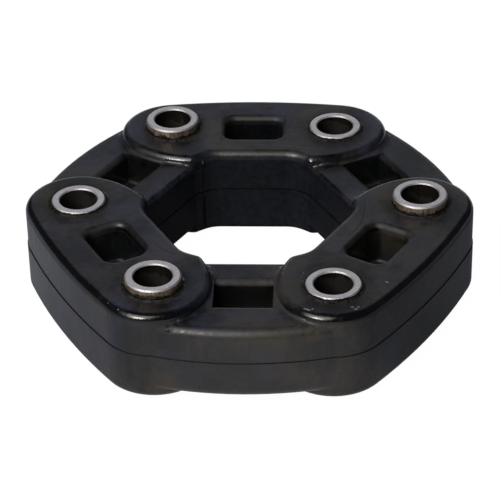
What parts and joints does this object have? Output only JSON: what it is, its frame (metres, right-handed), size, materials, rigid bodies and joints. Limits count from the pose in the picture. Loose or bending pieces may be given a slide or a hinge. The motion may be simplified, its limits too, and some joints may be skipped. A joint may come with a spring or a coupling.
{
  "type": "driveshaft flex disc",
  "caption": "Moulded rubber coupling ring with raised lobes, blind pockets and steel bolt sleeves, for joining two shaft flanges end to end.",
  "frame": {"origin": "on the disc's axis, midway between the two faces of the rubber lobes", "axes": "+Z along the disc's axis, out of the face where sleeves 1, 3 and 5 stand proud; +X through sleeve 1; the first lobe lies on +Y"},
  "size_m": [0.1448, 0.1358, 0.037],
  "materials": {
    "rubber": "moulded black rubber, satin, slightly dusty",
    "sleeve_steel": "turned steel with ground ring faces",
    "collar_steel": "pressed steel, bonded into the rubber",
    "cord": "wound polyester cord, set in rubber"
  },
  "bodies": {
    "root": {"rubber_body": "rubber", "sleeve_1": "sleeve_steel", "sleeve_2": "sleeve_steel", "sleeve_3": "sleeve_steel", "sleeve_4": "sleeve_steel", "sleeve_5": "sleeve_steel", "sleeve_6": "sleeve_steel", "collar_upper_1": "collar_steel", "collar_upper_2": "collar_steel", "collar_upper_3": "collar_steel", "collar_upper_4": "collar_steel", "collar_upper_5": "collar_steel", "collar_upper_6": "collar_steel", "collar_lower_1": "collar_steel", "collar_lower_2": "collar_steel", "collar_lower_3": "collar_steel", "collar_lower_4": "collar_steel", "collar_lower_5": "collar_steel", "collar_lower_6": "collar_steel", "link_loop_1": "cord", "link_loop_2": "cord", "link_loop_3": "cord", "lobe_loop_upper_1": "cord", "lobe_loop_upper_2": "cord", "lobe_loop_upper_3": "cord", "lobe_loop_lower_1": "cord", "lobe_loop_lower_2": "cord", "lobe_loop_lower_3": "cord"}
  },
  "joints": []
}
